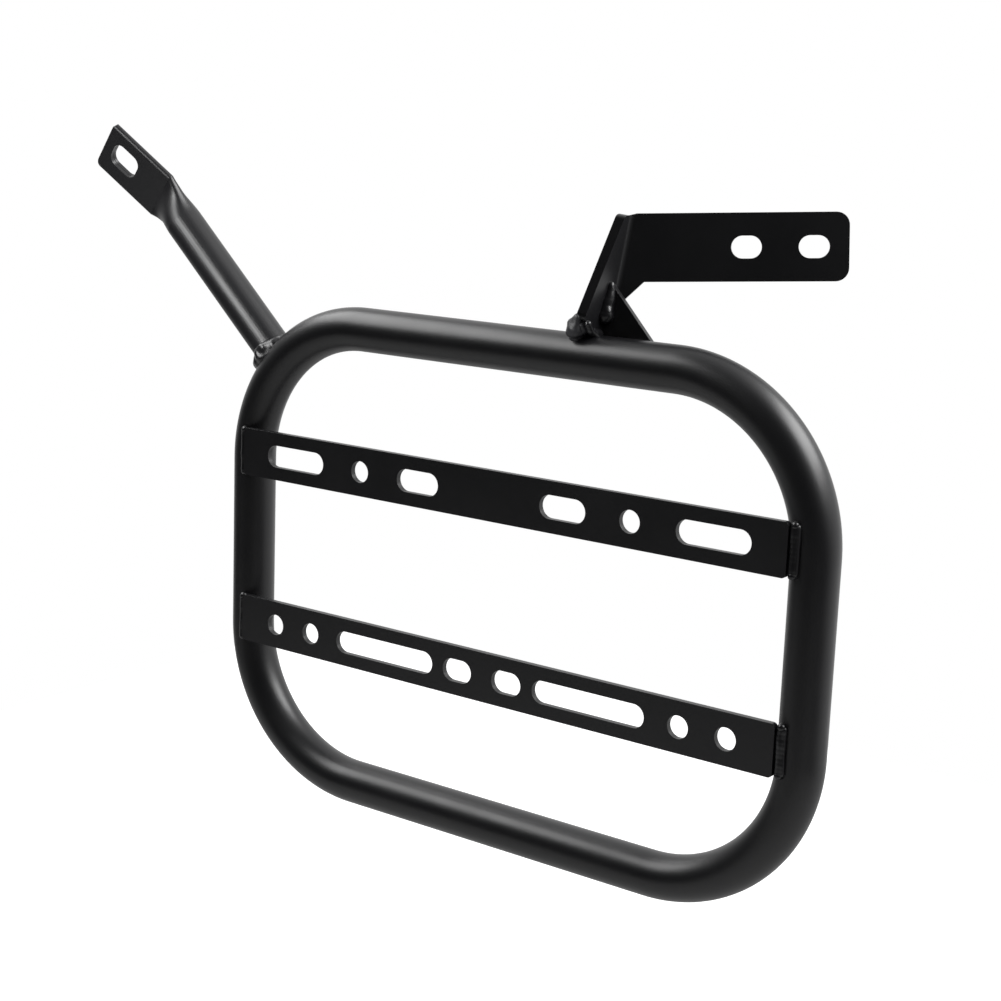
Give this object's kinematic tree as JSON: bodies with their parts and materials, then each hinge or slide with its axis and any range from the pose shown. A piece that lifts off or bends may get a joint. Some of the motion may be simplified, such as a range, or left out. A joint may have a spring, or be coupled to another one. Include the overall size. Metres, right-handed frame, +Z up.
{
  "type": "pannier frame",
  "caption": "Tubular pannier frame for a motorcycle: rounded rectangular hoop with slotted straps across it, a flattened support arm and a folded mounting bracket.",
  "frame": {"origin": "middle of the upper strap's outer face, on the line of its holes", "axes": "+X along the straps towards the end with the bracket, +Y from the straps' outer face inwards to the motorcycle, +Z up"},
  "size_m": [0.4544, 0.0847, 0.3473],
  "materials": {
    "powder_coated_steel": "satin black powder coat on steel",
    "powder_coated_weld": "satin black powder coat over weld beads, glossier on their ripples"
  },
  "bodies": {
    "root": {"hoop_tube": "powder_coated_steel", "upper_strap": "powder_coated_steel", "lower_strap": "powder_coated_steel", "arm_tube": "powder_coated_steel", "bracket_plate": "powder_coated_steel", "bracket_gusset": "powder_coated_steel", "arm_collar_weld": "powder_coated_weld", "upper_strap_left_weld": "powder_coated_weld", "upper_strap_right_weld": "powder_coated_weld", "lower_strap_left_weld": "powder_coated_weld", "lower_strap_right_weld": "powder_coated_weld", "bracket_outer_weld": "powder_coated_weld", "bracket_toe_weld": "powder_coated_weld", "gusset_leg_weld": "powder_coated_weld", "gusset_rear_weld": "powder_coated_weld"}
  },
  "joints": []
}
